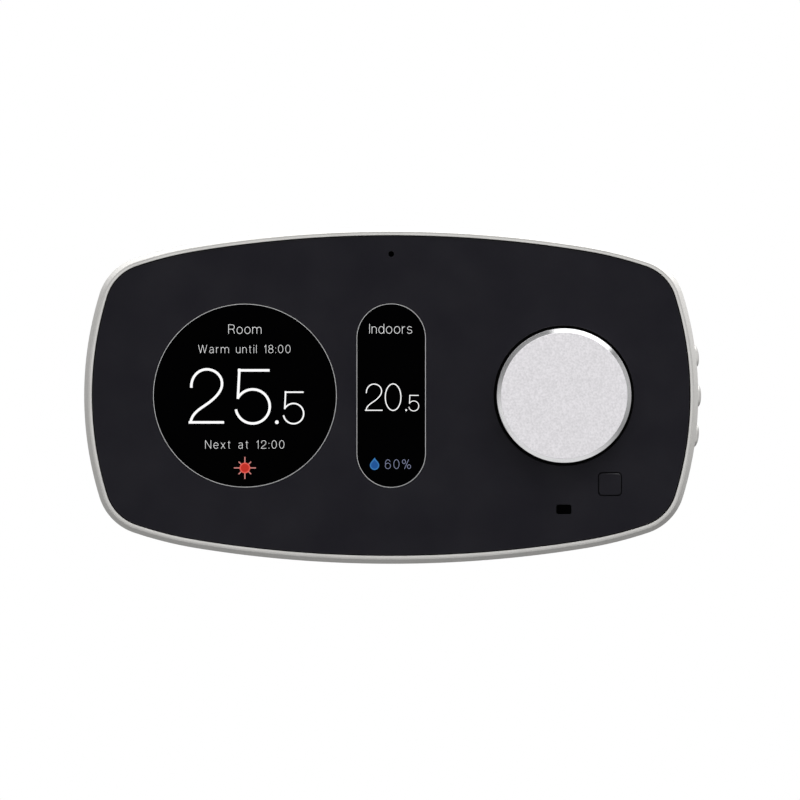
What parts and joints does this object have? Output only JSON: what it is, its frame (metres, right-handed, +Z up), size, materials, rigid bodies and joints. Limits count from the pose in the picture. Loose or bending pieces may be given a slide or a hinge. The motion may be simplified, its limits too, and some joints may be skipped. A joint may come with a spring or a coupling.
{
  "type": "wall thermostat",
  "caption": "Wall thermostat with round and slim displays, a turn-and-push knob, side buttons and a wall plate.",
  "frame": {"origin": "centre of the wall plate's back face, where it rests on the wall", "axes": "+X to the right seen from the front, +Y into the wall, +Z up; the front faces -Y"},
  "size_m": [0.1403, 0.03, 0.0764],
  "materials": {
    "wall_plate_plastic": "moulded, fine grain",
    "terminal_plastic": "moulded",
    "terminal_screw_zinc": "zinc plated",
    "cover_plastic": "moulded, fine grain",
    "silver_frame": "warm satin silver paint",
    "button_silver": "warm satin silver paint",
    "panel_black": "near-black, glossy",
    "key_black": "near-black, glossy",
    "display_black": "black display window",
    "window_trim": "fine bright line",
    "display_frame": "moulded",
    "flex": "amber film",
    "chip": "moulded",
    "shield": "tinned",
    "black_plastic": "moulded",
    "relay_blue": "moulded",
    "board": "solder mask",
    "knob_aluminium": "bead-blasted, bright cut edge",
    "zinc": "zinc plated",
    "nut_brass": "bare brass",
    "rubber": "soft, matt"
  },
  "bodies": {
    "wall_side": {"wall_plate": "wall_plate_plastic", "terminal_block_left": "terminal_plastic", "terminal_block_right": "terminal_plastic", "terminal_screw_left_1": "terminal_screw_zinc", "terminal_screw_left_2": "terminal_screw_zinc", "terminal_screw_left_3": "terminal_screw_zinc", "terminal_screw_right_1": "terminal_screw_zinc", "terminal_screw_right_2": "terminal_screw_zinc", "terminal_screw_right_3": "terminal_screw_zinc"},
    "unit": {"backup_cell": "shield", "board_screw_1": "zinc", "board_screw_2": "zinc", "case_screw_1": "zinc", "case_screw_2": "zinc", "case_screw_3": "zinc", "case_screw_4": "zinc", "encoder_body": "black_plastic", "encoder_bushing": "zinc", "encoder_nut": "nut_brass", "front_frame": "silver_frame", "front_panel": "panel_black", "humidity_sensor": "chip", "key_switch": "chip", "knob_well": "black_plastic", "light_sensor": "chip", "main_board": "board", "microphone": "shield", "microphone_tube": "rubber", "pin_header_left": "black_plastic", "pin_header_right": "black_plastic", "power_module": "black_plastic", "processor": "chip", "rear_cover": "cover_plastic", "relay_left": "relay_blue", "relay_right": "relay_blue", "round_display": "display_frame", "round_display_flex": "flex", "round_flex_connector": "chip", "round_lens": "display_black", "round_window_trim": "window_trim", "sensor_window": "display_black", "side_board": "board", "side_switch_lower": "chip", "side_switch_middle": "chip", "side_switch_upper": "chip", "slim_display": "display_frame", "slim_display_flex": "flex", "slim_flex_connector": "chip", "slim_lens": "display_black", "slim_window_trim": "window_trim", "wireless_module": "shield"},
    "knob_plunger": {"encoder_plunger": "black_plastic"},
    "knob": {"knob_cap": "knob_aluminium", "knob_hub": "black_plastic", "encoder_shaft": "zinc"},
    "key": {"square_key": "key_black"},
    "button_lower": {"side_button_lower": "button_silver"},
    "button_middle": {"side_button_middle": "button_silver"},
    "button_upper": {"side_button_upper": "button_silver"}
  },
  "joints": [
    {"name": "unit_pull_off", "type": "slide", "parent": "wall_side", "child": "unit", "axis": [0, -1, 0], "range_m": [0, 0.012]},
    {"name": "knob_press", "type": "slide", "parent": "unit", "child": "knob_plunger", "axis": [0, 1, 0], "range_m": [0, 0.0005], "stiffness_N_per_m": 5000, "springref_m": -0.0003},
    {"name": "knob_turn", "type": "hinge", "parent": "knob_plunger", "child": "knob", "pos_m": [0.03915, -0.03, 0], "axis": [0, -1, 0], "continuous": true},
    {"name": "key_press", "type": "slide", "parent": "unit", "child": "key", "axis": [0, 1, 0], "range_m": [0, 0.0004], "stiffness_N_per_m": 4000, "springref_m": -0.0002},
    {"name": "button_lower_press", "type": "slide", "parent": "unit", "child": "button_lower", "axis": [-0.9932, 0, 0.1168], "range_m": [0, 0.0005], "stiffness_N_per_m": 4000, "springref_m": -0.0002},
    {"name": "button_middle_press", "type": "slide", "parent": "unit", "child": "button_middle", "axis": [-1, 0, 0], "range_m": [0, 0.0005], "stiffness_N_per_m": 4000, "springref_m": -0.0002},
    {"name": "button_upper_press", "type": "slide", "parent": "unit", "child": "button_upper", "axis": [-0.9932, 0, -0.1168], "range_m": [0, 0.0005], "stiffness_N_per_m": 4000, "springref_m": -0.0002}
  ]
}
